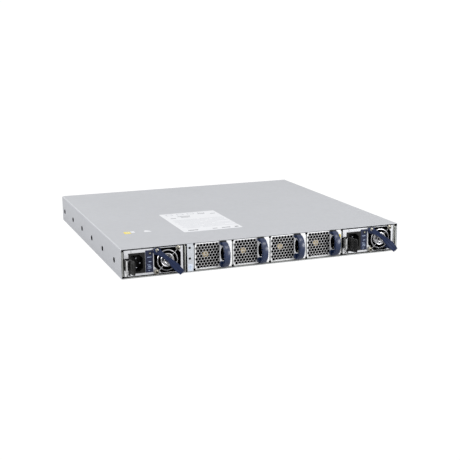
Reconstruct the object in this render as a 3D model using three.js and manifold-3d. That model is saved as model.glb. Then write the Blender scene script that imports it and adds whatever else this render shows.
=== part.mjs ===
// A one-unit rackmount network switch: sheet-metal chassis, port side at +Y, power and fan side at -Y.
// Millimetres, +Z up, +X to the right as seen from the power and fan side.
// The origin is the centre of the underside.

import * as THREE from 'three';
import { mergeVertices } from 'three/addons/utils/BufferGeometryUtils.js';
import Module from 'manifold-3d';

const wasm = await Module();
wasm.setup();

// Chassis
const WIDTH = 440;
const DEPTH = 432;
const HEIGHT = 43.7;
const SHEET = 1.0;
const COVER_BEND = 1.8;
const CLEAR = 0.3;
const LEFT = -WIDTH / 2;
const REAR = -DEPTH / 2;
const FRONT = DEPTH / 2;
const CEILING = HEIGHT - SHEET;

// Rail holes on both sides, counted from the rear face
const RAIL_HOLES = 6;
const RAIL_FIRST = 40.5;
const RAIL_PITCH = 74;
const RAIL_Z = 19.2;
const RAIL_HOLE_R = 2.6;
const RAIL_THREAD_R = 1.65;

// Power and fan side, distances from the left edge of the chassis
const FLANGE = [1.3, 3.2];
const PSU_LEFT_X = 4.8;
const PSU_RIGHT_X = 346.4;
const BAY_WALL_LEFT = [93.3, 95.1];
const BAY_WALL_RIGHT = [433.3, 435.1];
const GROUND_STRIP = [97.3, 106.6];
const GROUND_HOLES_Z = [20.4, 36.3];
const GROUND_HOLE_R = 1.65;
const FAN_COUNT = 4;
const FAN_FIRST_X = 108;
const FAN_PITCH = 59;
const DIVIDER = 1.0;
const BAY_DEPTH = 84;
const RAIL_LIP = 2.6;

// Power supply
const PSU_W = 85.5;
const PSU_Z = [2.2, 41.4];
const PSU_LENGTH = 212;
const PSU_RECESS = 0.8;
const HANDLE_Z = [4.0, 40.8];
const PSU_FAN = { x: 63.6, z: 21.6, size: 37.0, bore: 17.6, screw: [16, 16.8], depth: 28 };
const APERTURE = { reach: [20.2, 18.2], corner: 8 };
const INLET = { x: [6.4, 30.4], z: [6.5, 36.3], recess: [16.7, 24.4], key: 5, depth: 16 };
const LATCH = { x: [5.3, 7.0], z: [9.5, 25.5], reach: 35.5 };

// Fan module
const FAN_W = 57;
const FAN_Z = [2.9, 41.9];
const FAN_LENGTH = 80;
const FAN = { x: 19.8, z: 22.3, size: 37.2, bore: 17.7, depth: 28 };
const FAN_FRONT = 8.5;
const GRIP = { x: [40.3, 48.9], z: [3.4, 41], reach: 16, thick: 6 };
const RECESS = { x: [40.6, 48.6], z: [13.2, 32.6] };

// Port side, distances along X from the centre
const BOARD_Z = [6.0, 7.6];
const SFP = { columns: 6, cell: [14, 9.2], depth: 48 };
const QSFP = { columns: 2, cell: [19, 9.2], depth: 60 };
const ROW_Z = [8.6, 23.4];
const CAGE_WALL = 0.6;
const CAGE_PROUD = 0.6;
const CAGES = { network: 190, usb: 168, sfpA: 106, sfpB: 10, qsfp: -66 };

const COLOURS = {
  cover: [0xc9ccd1, 0.55, 0.3],
  steel: [0xb9bcc0, 0.4, 0.8],
  bright: [0xdfe2e6, 0.35, 0.7],
  black: [0x1b1c1f, 0.5, 0],
  navy: [0x26305e, 0.4, 0],
  chrome: [0xe8e8ea, 0.15, 1],
  board: [0x1f5a38, 0.6, 0],
  aluminium: [0xa9adb3, 0.45, 0.9],
  fanPlastic: [0x2a2b2e, 0.55, 0],
  port: [0x9a9da1, 0.35, 0.9],
};

const root = new THREE.Group();

// ---- shapes -------------------------------------------------------------

function solid(geometry) {
  const bare = geometry.clone();
  bare.deleteAttribute('normal');
  bare.deleteAttribute('uv');
  const merged = mergeVertices(bare, 1e-4);
  const vertProperties = new Float32Array(merged.attributes.position.array);
  const triVerts = new Uint32Array(merged.index.array);
  return new wasm.Manifold(new wasm.Mesh({ numProp: 3, vertProperties, triVerts }));
}

function block([x0, x1], [y0, y1], [z0, z1]) {
  const box = new THREE.BoxGeometry(x1 - x0, y1 - y0, z1 - z0);
  return solid(box.translate((x0 + x1) / 2, (y0 + y1) / 2, (z0 + z1) / 2));
}

// A prism with its flat sides around axis 'x', 'y' or 'z', from one end to the other.
function prism(axis, radius, sides, [from, to], [a, b]) {
  const bar = new THREE.CylinderGeometry(radius, radius, to - from, sides);
  bar.rotateY(Math.PI / sides);
  const middle = (from + to) / 2;
  if (axis === 'x') bar.rotateZ(-Math.PI / 2).translate(middle, a, b);
  if (axis === 'y') bar.translate(a, middle, b);
  if (axis === 'z') bar.rotateX(Math.PI / 2).translate(a, b, middle);
  return solid(bar);
}

// A straight round bar between two points.
function bar(radius, sides, start, end) {
  const from = new THREE.Vector3(...start);
  const along = new THREE.Vector3(...end).sub(from);
  const shape = new THREE.CylinderGeometry(radius, radius, along.length(), sides);
  const up = new THREE.Vector3(0, 1, 0);
  const turn = new THREE.Quaternion().setFromUnitVectors(up, along.clone().normalize());
  shape.applyQuaternion(turn).translate(...from.addScaledVector(along, 0.5).toArray());
  return solid(shape);
}

// An outline in X and Z, carried along Y.
function sheetY(outline, [y0, y1], curveSegments = 6) {
  const flat = outline instanceof THREE.Shape ? outline : new THREE.Shape(outline);
  const options = { depth: y1 - y0, bevelEnabled: false, curveSegments };
  return solid(new THREE.ExtrudeGeometry(flat, options).rotateX(Math.PI / 2).translate(0, y1, 0));
}

function points(pairs) {
  return pairs.map(([a, b]) => new THREE.Vector2(a, b));
}

function join(pieces) {
  return pieces.reduce((whole, piece) => whole.add(piece));
}

function cut(whole, tools) {
  return tools.reduce((rest, tool) => rest.subtract(tool), whole);
}

function count(n) {
  return [...Array(n).keys()];
}

function add(parent, name, shape, colour) {
  const mesh = shape.getMesh();
  const geometry = new THREE.BufferGeometry();
  geometry.setAttribute('position', new THREE.BufferAttribute(mesh.vertProperties, 3));
  geometry.setIndex(new THREE.BufferAttribute(mesh.triVerts, 1));
  geometry.computeVertexNormals();
  const [color, roughness, metalness] = COLOURS[colour];
  const material = new THREE.MeshStandardMaterial({ color, roughness, metalness });
  const piece = new THREE.Mesh(geometry, material);
  piece.name = name;
  parent.add(piece);
}

// Distances from the left edge of the chassis, as X in the object's frame.
function fromLeft(...distances) {
  return distances.map((d) => LEFT + d);
}

// ---- chassis ------------------------------------------------------------

function railHoles(radius, [x0, x1]) {
  return count(RAIL_HOLES).map((i) =>
    prism('x', radius, 8, [x0, x1], [REAR + RAIL_FIRST + i * RAIL_PITCH, RAIL_Z]));
}

function topCover() {
  const half = WIDTH / 2;
  const inner = half - SHEET;
  const skirt = 0.5;
  const outline = new THREE.Shape();
  outline.moveTo(-half, skirt);
  outline.lineTo(-inner, skirt);
  outline.lineTo(-inner, CEILING - COVER_BEND + SHEET);
  outline.quadraticCurveTo(-inner, CEILING, -inner + COVER_BEND - SHEET, CEILING);
  outline.lineTo(inner - COVER_BEND + SHEET, CEILING);
  outline.quadraticCurveTo(inner, CEILING, inner, CEILING - COVER_BEND + SHEET);
  outline.lineTo(inner, skirt);
  outline.lineTo(half, skirt);
  outline.lineTo(half, HEIGHT - COVER_BEND);
  outline.quadraticCurveTo(half, HEIGHT, half - COVER_BEND, HEIGHT);
  outline.lineTo(-half + COVER_BEND, HEIGHT);
  outline.quadraticCurveTo(-half, HEIGHT, -half, HEIGHT - COVER_BEND);
  outline.closePath();
  const shell = sheetY(outline, [REAR, FRONT], 3);
  return cut(shell, [
    ...railHoles(RAIL_HOLE_R, [-half - 1, -inner + 1]),
    ...railHoles(RAIL_HOLE_R, [inner - 1, half + 1]),
  ]);
}

function baseTray() {
  const outer = WIDTH / 2 - SHEET - CLEAR;
  const inner = outer - SHEET;
  const wallY = [REAR + 2, FRONT - 2];
  const wallZ = [SHEET - 0.2, 37];
  const floor = block([-outer, outer], [REAR, FRONT], [0, SHEET]);
  const left = block([-outer, -inner], wallY, wallZ);
  const right = block([inner, outer], wallY, wallZ);
  const posts = [[-190, 20], [190, 20], [0, 20], [0, -110], [-190, 150], [190, 150], [0, 175]].map(
    (at) => prism('z', 3, 6, [SHEET - 0.2, BOARD_Z[0] - 0.1], at));
  return cut(join([floor, left, right, ...posts]), [
    ...railHoles(RAIL_THREAD_R, [-outer - 1, -inner + 1]),
    ...railHoles(RAIL_THREAD_R, [inner - 1, outer + 1]),
  ]);
}

// Bottom lip, side flanges, ground pad strip and the walls between the fan modules, one welded frame.
function rearFrame() {
  const plate = [REAR, REAR + 1.2];
  const z0 = SHEET + 0.1;
  const mirrored = FLANGE.map((d) => WIDTH - d).reverse();
  const strip = (x, z) => block(fromLeft(...x), plate, z);
  const lip = strip([FLANGE[0], WIDTH - FLANGE[0]], [z0, PSU_Z[0] - CLEAR]);
  const fanEnd = FAN_FIRST_X + FAN_COUNT * FAN_PITCH;
  const fanLip = strip([GROUND_STRIP[0], fanEnd + 0.5], [z0, RAIL_LIP]);
  const walls = count(FAN_COUNT + 1).map((i) => {
    const x = FAN_FIRST_X + i * FAN_PITCH;
    const y = [REAR + 0.8, REAR + BAY_DEPTH];
    return block(fromLeft(x - DIVIDER / 2, x + DIVIDER / 2), y, [z0, CEILING - CLEAR]);
  });
  const joggle = block(fromLeft(GROUND_STRIP[1] - 1, FAN_FIRST_X), [REAR + 0.8, REAR + 1.8],
    [z0, CEILING - CLEAR]);
  const pads = [FLANGE, GROUND_STRIP, mirrored].map((x) => strip(x, [z0, CEILING - CLEAR]));
  const groundX = LEFT + (GROUND_STRIP[0] + GROUND_STRIP[1]) / 2 - 0.6;
  const holes = GROUND_HOLES_Z.map((z) =>
    prism('y', GROUND_HOLE_R, 8, [REAR - 1, REAR + 3], [groundX, z]));
  return cut(join([lip, fanLip, joggle, ...pads, ...walls]), holes);
}

function bayWall([x0, x1]) {
  const sheet = block(fromLeft(x0, x0 + SHEET), [REAR + 0.2, REAR + 205], [2.3, CEILING - CLEAR]);
  const fold = block(fromLeft(x0, x1), [REAR + 0.2, REAR + 1.4], [2.3, CEILING - CLEAR]);
  const foot = block(fromLeft(x0, x0 + 1.9), [REAR + 6, REAR + 200], [1.3, 2.6]);
  return join([sheet, fold, foot]);
}

function cageWidth(kind) {
  return kind.columns * (kind.cell[0] + CAGE_WALL) + CAGE_WALL;
}

// Two rows of ports: each port is a pocket open at the front panel.
function cage(kind, centre) {
  const half = cageWidth(kind) / 2;
  const front = FRONT + CAGE_PROUD;
  const z = [BOARD_Z[1] + 0.1, ROW_Z[1] + kind.cell[1] + CAGE_WALL];
  const body = block([centre - half, centre + half], [front - kind.depth - 2, front], z);
  const pockets = ROW_Z.flatMap((low) =>
    count(kind.columns).map((i) => {
      const x = centre - half + CAGE_WALL + i * (kind.cell[0] + CAGE_WALL);
      return block([x, x + kind.cell[0]], [front - kind.depth, front + 1], [low, low + kind.cell[1]]);
    }));
  return cut(body, pockets);
}

function networkJack() {
  const front = FRONT + CAGE_PROUD;
  const x = CAGES.network;
  const body = block([x - 8, x + 8], [front - 25, front], [BOARD_Z[1] + 0.1, 35]);
  const mouths = [9.5, 23.5].map((z) => block([x - 6, x + 6], [front - 18, front + 1], [z, z + 8.5]));
  return cut(body, mouths);
}

function usbPort() {
  const front = FRONT + CAGE_PROUD;
  const x = CAGES.usb;
  const body = block([x - 6.9, x + 6.9], [front - 14, front], [BOARD_Z[1] + 0.1, 15]);
  const mouth = block([x - 6.3, x + 6.3], [front - 12, front + 1], [9.2, 14.1]);
  const tongue = block([x - 5.5, x + 5.5], [front - 13, front - 2], [12, 13.4]);
  return cut(body, [mouth]).add(tongue);
}

function frontPanel() {
  const x = WIDTH / 2 - SHEET - CLEAR;
  const y = [FRONT - 1.2, FRONT];
  const through = [FRONT - 3, FRONT + 2];
  const plate = block([-x, x], y, [SHEET + 0.1, CEILING - CLEAR]);
  const top = ROW_Z[1] + SFP.cell[1] + CAGE_WALL + CLEAR;
  const window = (centre, half, high) =>
    block([centre - half - CLEAR, centre + half + CLEAR], through, [BOARD_Z[1] - 0.2, high]);
  const windows = [
    window(CAGES.sfpA, cageWidth(SFP) / 2, top),
    window(CAGES.sfpB, cageWidth(SFP) / 2, top),
    window(CAGES.qsfp, cageWidth(QSFP) / 2, top),
    window(CAGES.network, 8, 35.3),
    window(CAGES.usb, 6.9, 15.3),
  ];
  const vents = count(14).flatMap((i) => [0, 1, 2].map((j) => {
    const at = [-102 - i * 8.2 - (j % 2) * 4.1, 12 + j * 9];
    return prism('y', 3.1, 6, through, at);
  }));
  return cut(plate, [...windows, ...vents]);
}

function mainBoard() {
  const [bayLeft, bayRight] = fromLeft(BAY_WALL_LEFT[1] + 4, PSU_RIGHT_X - 5);
  const back = REAR + BAY_DEPTH + 4;
  const mid = REAR + PSU_RECESS + PSU_LENGTH + 0.5;
  const far = FRONT - 4;
  const side = WIDTH / 2 - 6;
  const outline = new THREE.Shape(points([
    [bayLeft, back], [bayRight, back], [bayRight, mid], [side, mid], [side, far],
    [-side, far], [-side, mid], [bayLeft, mid],
  ]));
  const flat = new THREE.ExtrudeGeometry(outline, { depth: BOARD_Z[1] - BOARD_Z[0], bevelEnabled: false });
  return solid(flat.translate(0, 0, BOARD_Z[0]));
}

function finned([x0, x1], [y0, y1], [z0, z1], fins) {
  const base = block([x0, x1], [y0, y1], [z0, z0 + 4]);
  const pitch = (x1 - x0 - 1) / (fins - 1);
  const blades = count(fins).map((i) =>
    block([x0 + i * pitch, x0 + i * pitch + 1], [y0, y1], [z0 + 3.8, z1]));
  return join([base, ...blades]);
}

// One socket strip per fan module on a small board behind the fan bay.
function fanBoard() {
  const y = [REAR + BAY_DEPTH + 0.5, REAR + BAY_DEPTH + 3.5];
  const [x0, x1] = fromLeft(FAN_FIRST_X + 1, FAN_FIRST_X + FAN_COUNT * FAN_PITCH - 1);
  const board = block([x0, x1], y, [1.6, 5.2]);
  const sockets = count(FAN_COUNT).map((i) => {
    const x = x0 + i * FAN_PITCH + 44;
    return block([x, x + 10], [y[0] - 3, y[1]], [1.6, 12]);
  });
  return join([board, ...sockets]);
}

// Receives the gold-edged tab of a power supply's board.
function psuSocket(x) {
  const [x0, x1] = [LEFT + x + 24, LEFT + x + 62];
  const y = REAR + PSU_RECESS + PSU_LENGTH + 1;
  const body = block([x0, x1], [y, y + 12], [BOARD_Z[1] + 0.1, 19]);
  const slot = block([x0 + 1.5, x1 - 1.5], [y - 1, y + 9], [11.7, 14.3]);
  return cut(body, [slot]);
}

function chassis() {
  add(root, 'top_cover', topCover(), 'cover');
  add(root, 'base_tray', baseTray(), 'steel');
  add(root, 'rear_frame', rearFrame(), 'bright');
  add(root, 'psu_bay_wall_left', bayWall(BAY_WALL_LEFT), 'steel');
  add(root, 'psu_bay_wall_right', bayWall(BAY_WALL_RIGHT), 'steel');
  add(root, 'front_panel', frontPanel(), 'steel');
  add(root, 'main_board', mainBoard(), 'board');
  add(root, 'sfp_cage_left', cage(SFP, CAGES.sfpA), 'port');
  add(root, 'sfp_cage_right', cage(SFP, CAGES.sfpB), 'port');
  add(root, 'qsfp_cage', cage(QSFP, CAGES.qsfp), 'port');
  add(root, 'network_jack', networkJack(), 'port');
  add(root, 'usb_port', usbPort(), 'port');
  add(root, 'switch_chip', block([-25, 25], [45, 95], [BOARD_Z[1] + 0.1, 11]), 'black');
  add(root, 'switch_heatsink', finned([-48, 48], [28, 112], [11.1, 37], 22), 'aluminium');
  add(root, 'cpu_heatsink', finned([-155, -105], [60, 105], [BOARD_Z[1] + 0.1, 30], 12), 'aluminium');
  add(root, 'memory_module', block([-185, -117], [35, 37.4], [BOARD_Z[1] + 0.1, 30]), 'board');
  add(root, 'fan_board', fanBoard(), 'board');
  add(root, 'psu_socket_left', psuSocket(PSU_LEFT_X), 'black');
  add(root, 'psu_socket_right', psuSocket(PSU_RIGHT_X), 'black');
}

// ---- power supply, its own frame: X from its left edge, Y from its face --

function psuCase() {
  const outside = block([0, PSU_W], [1.3, PSU_LENGTH], PSU_Z);
  const inside = block([0.8, PSU_W - 0.8], [0, PSU_LENGTH - 0.8], [PSU_Z[0] + 0.8, PSU_Z[1] - 0.8]);
  const tabSlot = block([25, 60], [PSU_LENGTH - 3, PSU_LENGTH + 1], [10.5, 15.5]);
  const vents = count(8).map((i) =>
    prism('y', 3.4, 6, [PSU_LENGTH - 3, PSU_LENGTH + 1], [10 + i * 9.3, 29]));
  return cut(outside, [inside, tabSlot, ...vents]);
}

function octagon(x, z, [w, h], corner) {
  const turn = [[w, corner - h], [w, h - corner], [w - corner, h], [corner - w, h],
    [-w, h - corner], [-w, corner - h], [corner - w, -h], [w - corner, -h]];
  return points(turn.map(([a, b]) => [x + a, z + b]));
}

function psuFaceplate() {
  const plate = block([0, PSU_W], [0, 1], PSU_Z);
  const { x, z } = PSU_FAN;
  const aperture = sheetY(octagon(x, z, APERTURE.reach, APERTURE.corner), [-1, 2]);
  const inlet = block([INLET.x[0] + 1.4, INLET.x[1] - 1], [-1, 2], [INLET.z[0] + 1, INLET.z[1] - 1]);
  const slot = block([LATCH.x[0] - 0.6, LATCH.x[1] + 0.9], [-1, 2], [LATCH.z[0] + 2, LATCH.z[1] - 2]);
  return cut(plate, [aperture, inlet, slot]);
}

function keyedRecess() {
  const [w, h] = INLET.recess;
  const x0 = (INLET.x[0] + INLET.x[1] - w) / 2;
  const z0 = (INLET.z[0] + INLET.z[1] - h) / 2;
  const k = INLET.key;
  const outline = points([
    [x0, z0], [x0 + w - k, z0], [x0 + w, z0 + k], [x0 + w, z0 + h - k], [x0 + w - k, z0 + h], [x0, z0 + h],
  ]);
  return sheetY(outline, [-2, INLET.depth]);
}

// Its flange steps back beside the release latch.
function psuInlet() {
  const proud = [-0.9, -0.3];
  const upper = block(INLET.x, proud, [LATCH.z[1] + 2, INLET.z[1]]);
  const lower = block([INLET.x[0] + 1.9, INLET.x[1]], proud, [INLET.z[0], LATCH.z[1] + 3]);
  const body = block([INLET.x[0] + 1.9, INLET.x[1] - 1.3], [-0.8, INLET.depth + 3],
    [INLET.z[0] + 1.3, INLET.z[1] - 1.3]);
  return cut(join([upper, lower, body]), [keyedRecess()]);
}

function psuInletPins() {
  const x = (INLET.x[0] + INLET.x[1]) / 2 - 2;
  const z = (INLET.z[0] + INLET.z[1]) / 2;
  const back = INLET.depth - 0.3;
  const carrier = block([x - 3.5, x + 7], [back - 1, back], [z - 9, z + 9]);
  const blades = [[x, z + 7], [x, z - 7], [x + 4, z]].map(([px, pz]) =>
    block([px - 1, px + 1], [1.5, back - 0.5], [pz - 2, pz + 2]));
  return join([carrier, ...blades]);
}

function fanFrame({ x, z, size, bore, depth }, front) {
  const half = size / 2;
  const duct = block([x - half, x + half], [front, front + depth], [z - half, z + half]);
  const tube = prism('y', bore, 20, [front - 1, front + depth + 1], [x, z]);
  const back = front + depth;
  const seat = prism('y', 9, 12, [back - 2.5, back], [x, z]);
  const arms = [0, 1].map((i) => {
    const across = [(half - 0.5) * (1 - i), (half - 0.5) * i];
    const thick = 1.2;
    return block([x - across[0] - thick * i, x + across[0] + thick * i], [back - 2, back - 0.5],
      [z - across[1] - thick * (1 - i), z + across[1] + thick * (1 - i)]);
  });
  return join([cut(duct, [tube]), seat, ...arms]);
}

function fanRotor({ x, z, bore }, front) {
  const hub = prism('y', 10, 16, [front + 2, front + 20], [x, z]);
  const blades = count(5).map((i) => {
    const blade = new THREE.BoxGeometry(bore - 1 - 8, 13, 1.2);
    blade.rotateX(0.75).translate((bore - 1 + 8) / 2, front + 11, 0);
    blade.rotateY((i * 2 * Math.PI) / 5).translate(x, 0, z);
    return solid(blade);
  });
  return join([hub, ...blades]);
}

// Chromed wire rings on diagonal spokes that end at the four fan screws.
function fanGuard() {
  const { x, z, screw: [across, up] } = PSU_FAN;
  const y = -1.3;
  const wire = 0.75;
  const rings = [15, 10, 5].map((radius) => {
    const ring = new THREE.TorusGeometry(radius, wire, 4, 20);
    return solid(ring.rotateX(Math.PI / 2).translate(x, y, z));
  });
  const spokes = [[1, 1], [1, -1]].map(([a, b]) =>
    bar(wire, 4, [x - a * across, y, z - b * up], [x + a * across, y, z + b * up]));
  const loops = [[1, 1], [1, -1], [-1, 1], [-1, -1]].map(([a, b]) =>
    prism('y', 2.6, 8, [y - 0.6, y + 0.6], [x + a * across, z + b * up]));
  return join([...rings, ...spokes, ...loops]);
}

// A strap from the upper left fan screw that rises to a corner at the lower right and returns.
// Its side view is drawn along the diagonal and outwards, then turned to lie across the fan.
// Both ends are trimmed level with the face plate.
function psuHandle() {
  const { x, z, screw } = PSU_FAN;
  const span = screw[0] * Math.SQRT2;
  const strap = 8.6;
  const side = new THREE.Shape();
  side.moveTo(-span - 5, 0);
  side.lineTo(-span + 4.5, 0);
  side.quadraticCurveTo(-span + 18, 9.5, span - 9, 13.8);
  side.quadraticCurveTo(span - 3, 14, span - 3.5, 0);
  side.lineTo(span + 4, 0);
  side.lineTo(span + 4, 11);
  side.quadraticCurveTo(span + 4, 18, span - 4, 17.6);
  side.quadraticCurveTo(-span + 12, 14.5, -span - 1, 4.2);
  side.lineTo(-span - 5, 3.2);
  side.closePath();
  const shape = new THREE.ExtrudeGeometry(side, { depth: strap, bevelEnabled: false, curveSegments: 5 });
  shape.translate(0, 0, -strap / 2).rotateX(Math.PI);
  shape.rotateY(Math.PI / 4).translate(x, -2.6, z);
  const wide = [x - 2 * span, x + 2 * span];
  return solid(shape).intersect(block(wide, [-40, 0], HANDLE_Z));
}

// A sprung steel leaf whose foot shows in the face, with a thumb tab standing straight out.
function psuLatch() {
  const [x0, x1] = LATCH.x;
  const [low, high] = LATCH.z;
  const out = -LATCH.reach;
  const outline = new THREE.Shape(points([
    [-0.5, low - 3.5], [-0.5, high], [-3, high + 1.5], [-10, high + 5.5], [out + 3, high + 7.5],
    [out, high + 5], [out, low + 8.2], [out + 5.5, low + 2.7], [-8, low], [-3, low - 3.5],
  ]));
  const side = new THREE.ExtrudeGeometry(outline, { depth: x1 - x0, bevelEnabled: false });
  const tab = solid(side.rotateX(Math.PI / 2).rotateZ(Math.PI / 2).translate(x0, 0, 0));
  const foot = block([x0 - 2, x0 + 0.5], [-1.5, -0.6], LATCH.z);
  const leaf = block([x0 + 0.3, x1 - 0.5], [-1, 16], [LATCH.z[0] + 3, LATCH.z[1] - 3]);
  return join([tab, foot, leaf]);
}

function psuBoard() {
  const board = block([3, PSU_W - 3], [34, PSU_LENGTH - 2], [12.2, 13.8]);
  const tab = block([27, 58], [PSU_LENGTH - 4, PSU_LENGTH + 8], [12.2, 13.8]);
  const parts = [
    [[8, 36], [110, 145], [13.6, 38]], [[44, 78], [120, 150], [13.6, 36]],
    [[8, 78], [70, 74], [13.6, 38]], [[10, 30], [40, 62], [13.6, 36]],
    [[48, 76], [165, 195], [13.6, 30]], [[12, 38], [160, 190], [13.6, 26]],
  ].map(([x, y, z]) => block(x, y, z));
  return join([board, tab, ...parts]);
}

function powerSupply(side, x) {
  const psu = new THREE.Group();
  psu.position.set(LEFT + x, REAR + PSU_RECESS, 0);
  root.add(psu);
  const name = `psu_${side}`;
  add(psu, `${name}_case`, psuCase(), 'steel');
  add(psu, `${name}_faceplate`, psuFaceplate(), 'bright');
  add(psu, `${name}_inlet`, psuInlet(), 'black');
  add(psu, `${name}_inlet_pins`, psuInletPins(), 'chrome');
  add(psu, `${name}_fan_frame`, fanFrame(PSU_FAN, 1.6), 'fanPlastic');
  add(psu, `${name}_fan_rotor`, fanRotor(PSU_FAN, 1.6), 'fanPlastic');
  add(psu, `${name}_fan_guard`, fanGuard(), 'chrome');
  add(psu, `${name}_handle`, psuHandle(), 'navy');
  add(psu, `${name}_latch`, psuLatch(), 'black');
  add(psu, `${name}_board`, psuBoard(), 'board');
}

// ---- fan module, its own frame: X from its left edge, Y from its face ----

function fanCarrier() {
  const face = block([0, FAN_W], [0, 1], FAN_Z);
  const floor = block([0, FAN_W], [0.5, FAN_LENGTH - 1], [FAN_Z[0], FAN_Z[0] + 0.7]);
  const web = block([FAN_W - 15, FAN_W - 14.2], [11, FAN_LENGTH - 1], [FAN_Z[0], 38]);
  const holes = count(5).flatMap((j) => count(4).map((i) =>
    prism('y', 3.3, 4, [-1, 2], [5.5 + i * 8.6 + (j % 2) * 3, 7.6 + j * 7.4])));
  const recess = block(RECESS.x, [-1, 2], RECESS.z);
  return cut(join([face, floor, web]), [...holes, recess]);
}

// A bow seen from the side, in Z and outwards, with a foot at each end.
function fanHandle() {
  const [z0, z1] = GRIP.z;
  const middle = (z0 + z1) / 2;
  const half = (z1 - z0) / 2;
  const side = new THREE.Shape();
  side.absellipse(0, 0, half, GRIP.reach, Math.PI, 0, true);
  side.absellipse(0, 0, half - GRIP.thick, GRIP.reach - GRIP.thick, 0, Math.PI, false);
  side.closePath();
  const [x0, x1] = GRIP.x;
  const bow = new THREE.ExtrudeGeometry(side, { depth: x1 - x0, bevelEnabled: false, curveSegments: 10 });
  bow.rotateY(Math.PI / 2).rotateX(Math.PI).translate(x0, -0.3, middle);
  const feet = [[z0, z0 + 3], [z1 - 3, z1]].map((z) => block([x0 - 2.4, x1], [-2, -0.3], z));
  return join([solid(bow), ...feet]);
}

// A steel spring leaf behind the finger recess, with a lip turned out through it.
function fanLatch() {
  const leaf = block([RECESS.x[0] + 0.4, RECESS.x[0] + 1.2], [-1.4, 9], [RECESS.z[0] + 2, RECESS.z[1] - 2]);
  const lip = block([RECESS.x[0] + 0.4, RECESS.x[0] + 3], [1.6, 2.6], [RECESS.z[0] + 2, RECESS.z[1] - 2]);
  return join([leaf, lip]);
}

function fanModule(i) {
  const module = new THREE.Group();
  module.position.set(LEFT + FAN_FIRST_X + i * FAN_PITCH + (FAN_PITCH - FAN_W) / 2, REAR, 0);
  root.add(module);
  const name = `fan_${i + 1}`;
  add(module, `${name}_carrier`, fanCarrier(), 'bright');
  add(module, `${name}_frame`, fanFrame(FAN, FAN_FRONT), 'fanPlastic');
  add(module, `${name}_rotor`, fanRotor(FAN, FAN_FRONT), 'fanPlastic');
  add(module, `${name}_handle`, fanHandle(), 'navy');
  add(module, `${name}_latch`, fanLatch(), 'steel');
}

chassis();
powerSupply('left', PSU_LEFT_X);
powerSupply('right', PSU_RIGHT_X);
count(FAN_COUNT).forEach(fanModule);

export default root;
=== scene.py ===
from math import cos, exp, pi, radians, sin, sqrt

import bmesh
import bpy
from mathutils import Matrix, Vector


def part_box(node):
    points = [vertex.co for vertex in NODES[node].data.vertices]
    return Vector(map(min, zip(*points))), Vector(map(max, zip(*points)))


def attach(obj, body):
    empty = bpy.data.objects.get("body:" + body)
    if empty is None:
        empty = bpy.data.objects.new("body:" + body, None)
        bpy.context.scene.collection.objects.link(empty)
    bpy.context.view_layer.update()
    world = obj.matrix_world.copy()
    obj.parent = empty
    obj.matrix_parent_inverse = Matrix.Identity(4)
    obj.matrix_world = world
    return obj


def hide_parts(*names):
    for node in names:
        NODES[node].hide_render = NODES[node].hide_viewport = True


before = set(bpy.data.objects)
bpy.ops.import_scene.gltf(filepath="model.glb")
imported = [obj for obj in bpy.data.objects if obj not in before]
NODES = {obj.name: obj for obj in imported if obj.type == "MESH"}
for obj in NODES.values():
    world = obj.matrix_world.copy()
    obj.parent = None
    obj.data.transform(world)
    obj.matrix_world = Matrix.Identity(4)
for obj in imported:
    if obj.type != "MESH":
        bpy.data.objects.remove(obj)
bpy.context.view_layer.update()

MM = 0.001
SHARP = radians(32)


# ---- materials ----

class Recipe:
    """One procedural material: a Principled shader with noise in its colour, roughness and bump."""

    def __init__(self, name):
        self.material = bpy.data.materials.new(name)
        self.material.use_nodes = True
        self.nodes = self.material.node_tree.nodes
        self.links = self.material.node_tree.links
        self.shader = self.nodes["Principled BSDF"]
        self.place = self.node("TexCoord").outputs["Object"]

    def feed(self, socket, value):
        if isinstance(value, bpy.types.NodeSocket):
            self.links.new(value, socket)
        else:
            socket.default_value = value

    def fill(self, node, inputs):
        for key, value in inputs.items():
            self.feed(node.inputs[key.replace("_", " ")], value)

    def node(self, kind, **inputs):
        """A new node with its inputs set or linked. An underscore in an input's name stands for a space."""
        node = self.nodes.new("ShaderNode" + kind)
        self.fill(node, inputs)
        return node

    def set(self, **inputs):
        self.fill(self.shader, inputs)
        return self

    def mapped(self, stretch):
        return self.node("Mapping", Vector=self.place, Scale=stretch).outputs["Vector"]

    def noise(self, scale, stretch=(1, 1, 1), detail=4, rough=0.6):
        return self.node("TexNoise", Vector=self.mapped(stretch), Scale=scale, Detail=detail,
                         Roughness=rough).outputs["Fac"]

    def ramp(self, source, stops):
        ramp = self.node("ValToRGB", Fac=source)
        for element, (position, colour) in zip(ramp.color_ramp.elements, stops):
            element.position, element.color = position, colour
        return ramp.outputs["Color"]

    def shades(self, source, colour, low, dark, high, bright):
        """From a dark to a bright shade of one colour, as the source goes from low to high."""
        return self.ramp(source, [(low, shade(colour, dark)), (high, shade(colour, bright))])

    def mix(self, factor, a, b):
        node = self.nodes.new("ShaderNodeMix")
        node.data_type = "RGBA"
        for index, value in ((0, factor), (6, a), (7, b)):
            self.feed(node.inputs[index], value)
        return node.outputs[2]

    def colour(self, socket):
        return self.set(Base_Color=socket)

    def roughness(self, source, low, high):
        ranged = self.node("MapRange", Value=source, To_Min=low, To_Max=high)
        return self.set(Roughness=ranged.outputs["Result"])

    def bump(self, source, strength, distance):
        return self.set(Normal=self.node("Bump", Height=source, Strength=strength,
                                         Distance=distance).outputs["Normal"])


def rgb(r, g, b):
    return (r, g, b, 1.0)


def shade(colour, factor):
    return rgb(*[min(1.0, c * factor) for c in colour])


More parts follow.
